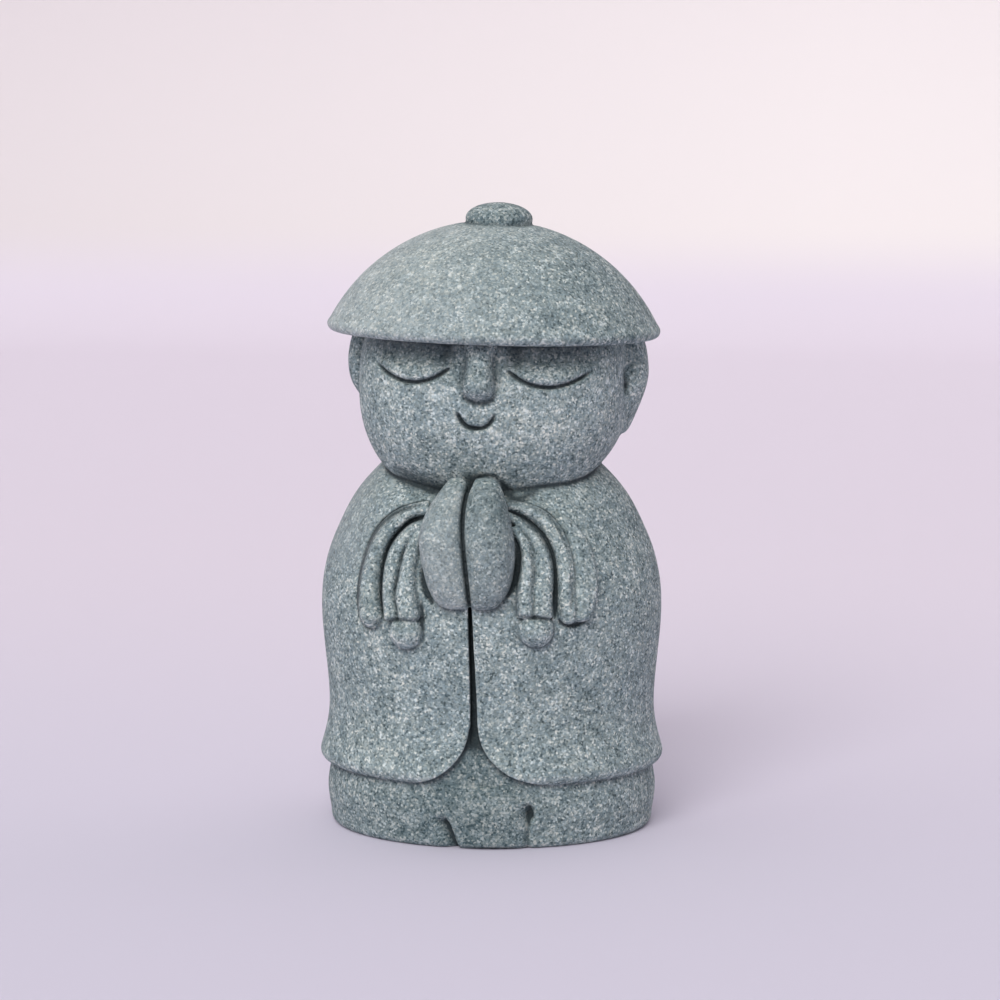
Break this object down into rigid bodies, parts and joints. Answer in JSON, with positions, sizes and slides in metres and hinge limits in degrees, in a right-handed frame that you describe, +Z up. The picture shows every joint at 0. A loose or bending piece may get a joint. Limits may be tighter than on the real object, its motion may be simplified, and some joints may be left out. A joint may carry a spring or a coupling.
{
  "type": "monk statuette",
  "caption": "Small cast-stone figurine of a standing monk with pressed hands under a round hat, for a shelf, desk, planter or garden tray.",
  "frame": {"origin": "middle of the flat underside, on the body's vertical axis", "axes": "+Z up through the hat's button, the figure looks along -Y, +X to the right of someone facing it"},
  "size_m": [0.0388, 0.0379, 0.07],
  "materials": {
    "stone": "matte"
  },
  "bodies": {
    "root": {"monk_statuette": "stone"}
  },
  "joints": []
}
